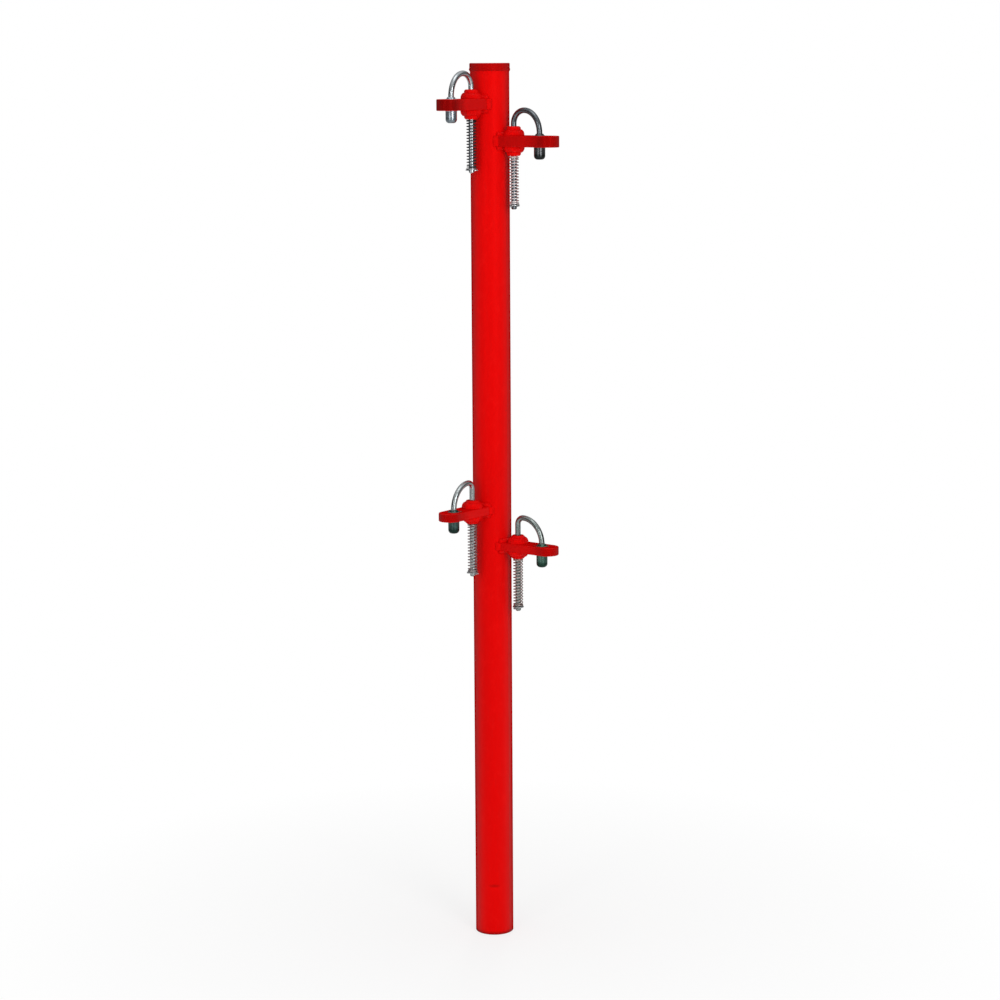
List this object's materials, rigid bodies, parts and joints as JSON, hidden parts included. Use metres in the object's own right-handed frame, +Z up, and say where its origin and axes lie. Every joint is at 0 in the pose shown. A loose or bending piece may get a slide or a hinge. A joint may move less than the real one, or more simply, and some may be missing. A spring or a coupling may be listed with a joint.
{
  "type": "drive-in corner panel post",
  "caption": "Round steel post driven into the ground, with lugs at two levels on two sides; a spring-held arched drop pin in each lug locks a livestock panel's eye.",
  "frame": {"origin": "centre of the tube's open foot, on the foot plane", "axes": "+Z up along the tube; +X along the right-hand lugs; -Y along the left-hand lugs"},
  "size_m": [0.2334, 0.2279, 2.032],
  "materials": {
    "red_paint": "gloss red enamel over welded steel",
    "cap_paint": "gloss red enamel, worn by hammering",
    "pin_steel": "bright zinc plate, lightly dulled",
    "lock_steel": "turned steel, dark zinc",
    "spring_steel": "drawn spring wire, dull grey"
  },
  "bodies": {
    "post": {"post_tube": "red_paint", "top_cap": "cap_paint", "upper_left_lug_plate": "red_paint", "upper_left_guide_sleeve": "red_paint", "upper_left_spring": "spring_steel", "upper_right_lug_plate": "red_paint", "upper_right_guide_sleeve": "red_paint", "upper_right_spring": "spring_steel", "lower_left_lug_plate": "red_paint", "lower_left_guide_sleeve": "red_paint", "lower_left_spring": "spring_steel", "lower_right_lug_plate": "red_paint", "lower_right_guide_sleeve": "red_paint", "lower_right_spring": "spring_steel"},
    "upper_left_pin": {"upper_left_pin_rod": "pin_steel", "upper_left_lock_plug": "lock_steel", "upper_left_spring_washer": "pin_steel", "upper_left_split_pin": "pin_steel"},
    "upper_right_pin": {"upper_right_pin_rod": "pin_steel", "upper_right_lock_plug": "lock_steel", "upper_right_spring_washer": "pin_steel", "upper_right_split_pin": "pin_steel"},
    "lower_left_pin": {"lower_left_pin_rod": "pin_steel", "lower_left_lock_plug": "lock_steel", "lower_left_spring_washer": "pin_steel", "lower_left_split_pin": "pin_steel"},
    "lower_right_pin": {"lower_right_pin_rod": "pin_steel", "lower_right_lock_plug": "lock_steel", "lower_right_spring_washer": "pin_steel", "lower_right_split_pin": "pin_steel"}
  },
  "joints": [
    {"name": "upper_left_lift", "type": "slide", "parent": "post", "child": "upper_left_pin", "axis": [0, 0, 1], "range_m": [0, 0.064], "stiffness_N_per_m": 2085, "springref_m": -0.01, "deforming": ["upper_left_spring"]},
    {"name": "upper_right_lift", "type": "slide", "parent": "post", "child": "upper_right_pin", "axis": [0, 0, 1], "range_m": [0, 0.064], "stiffness_N_per_m": 2085, "springref_m": -0.01, "deforming": ["upper_right_spring"]},
    {"name": "lower_left_lift", "type": "slide", "parent": "post", "child": "lower_left_pin", "axis": [0, 0, 1], "range_m": [0, 0.064], "stiffness_N_per_m": 2085, "springref_m": -0.01, "deforming": ["lower_left_spring"]},
    {"name": "lower_right_lift", "type": "slide", "parent": "post", "child": "lower_right_pin", "axis": [0, 0, 1], "range_m": [0, 0.064], "stiffness_N_per_m": 2085, "springref_m": -0.01, "deforming": ["lower_right_spring"]}
  ]
}
